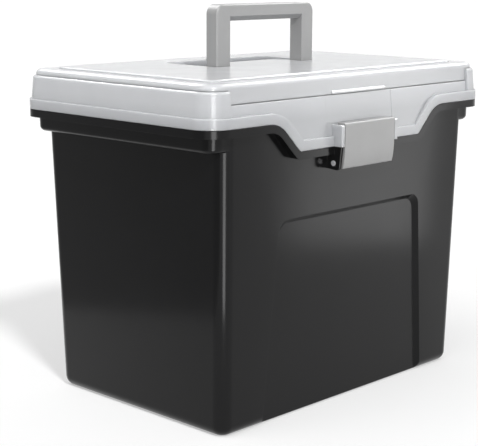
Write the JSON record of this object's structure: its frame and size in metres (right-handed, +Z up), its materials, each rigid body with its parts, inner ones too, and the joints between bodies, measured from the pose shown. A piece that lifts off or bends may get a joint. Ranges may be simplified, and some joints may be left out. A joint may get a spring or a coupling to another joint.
{
  "type": "portable file box",
  "caption": "Tall moulded bin for hanging files, with a translucent organiser lid, a hinged cover over its tray, a folding carry handle and a hook-over front latch.",
  "frame": {"origin": "on the floor, under the middle of the rim", "axes": "+X along the width, to the right of someone who faces the latch; -Y towards the latch; +Z up"},
  "size_m": [0.3554, 0.2472, 0.335],
  "materials": {
    "black_plastic": "injection-moulded polypropylene, black, glossy",
    "clear_plastic": "natural polypropylene, milky and translucent, polished outside",
    "grey_plastic": "grey moulded plastic, fine satin grain",
    "pin_steel": "drawn steel wire, cut to length"
  },
  "bodies": {
    "bin": {"bin": "black_plastic", "latch_pin": "pin_steel", "lid_hinge_pin_left": "pin_steel", "lid_hinge_pin_right": "pin_steel"},
    "lid": {"lid": "clear_plastic", "cover_hinge_pin_left": "pin_steel", "cover_hinge_pin_right": "pin_steel"},
    "cover": {"organiser_cover": "clear_plastic", "handle_pin_left": "pin_steel", "handle_pin_right": "pin_steel"},
    "handle": {"handle": "grey_plastic"},
    "latch": {"latch": "grey_plastic"}
  },
  "joints": [
    {"name": "lid_hinge", "type": "hinge", "parent": "bin", "child": "lid", "pos_m": [0, 0.11985, 0.2476], "axis": [-1, 0, 0], "range_deg": [0, 105]},
    {"name": "cover_hinge", "type": "hinge", "parent": "lid", "child": "cover", "pos_m": [0, 0.11555, 0.276], "axis": [-1, 0, 0], "range_deg": [0, 100]},
    {"name": "handle_fold", "type": "hinge", "parent": "cover", "child": "handle", "pos_m": [0, 0.001, 0.2756], "axis": [-1, 0, 0], "range_deg": [0, 90]},
    {"name": "latch_pivot", "type": "hinge", "parent": "bin", "child": "latch", "pos_m": [0, -0.1143, 0.2097], "axis": [1, 0, 0], "range_deg": [0, 100]}
  ]
}
